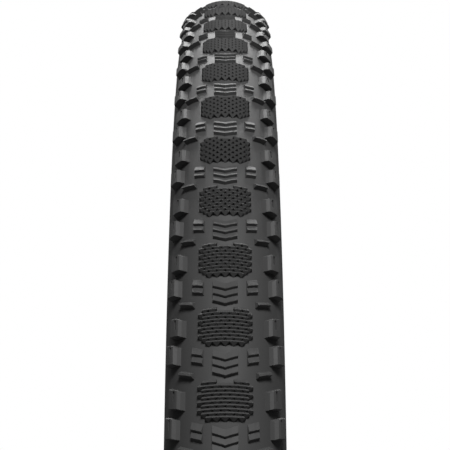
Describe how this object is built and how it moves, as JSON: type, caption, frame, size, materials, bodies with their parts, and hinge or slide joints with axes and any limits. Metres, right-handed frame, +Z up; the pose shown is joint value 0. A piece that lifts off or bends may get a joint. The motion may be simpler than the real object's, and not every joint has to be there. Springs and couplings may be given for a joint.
{
  "type": "bicycle tyre",
  "caption": "Knobbly off-road bicycle tyre for a 622 mm bead seat, with a low centre tread of gripping patches and chevrons between open shoulder knobs.",
  "frame": {"origin": "centre of the wheel, midway between the two beads", "axes": "+Y along the axle towards the left side, +Z up, +X forward; the chevrons point down at the front"},
  "size_m": [0.7272, 0.053, 0.727],
  "materials": {
    "tread": "satin moulded rubber",
    "sidewall": "satin rubber over fabric",
    "chafer": "matt hard rubber",
    "filler": "matt soft rubber",
    "liner": "smooth airtight rubber",
    "bead_cord": "yellow aramid cord",
    "casing_fabric": "rubbered nylon cord",
    "belt_fabric": "close woven nylon"
  },
  "bodies": {
    "root": {"tread_cap": "tread", "centre_patches": "tread", "centre_chevrons": "tread", "slanted_bars_left": "tread", "slanted_bars_right": "tread", "link_bars_left": "tread", "link_bars_right": "tread", "inner_shoulder_knobs_left": "tread", "inner_shoulder_knobs_right": "tread", "outer_shoulder_knobs_left": "tread", "outer_shoulder_knobs_right": "tread", "sidewall_left": "sidewall", "sidewall_right": "sidewall", "chafer_left": "chafer", "chafer_right": "chafer", "bead_core_left": "bead_cord", "bead_core_right": "bead_cord", "bead_filler_left": "filler", "bead_filler_right": "filler", "casing_outer_ply": "casing_fabric", "casing_inner_ply": "casing_fabric", "puncture_belt": "belt_fabric", "inner_liner": "liner"}
  },
  "joints": []
}
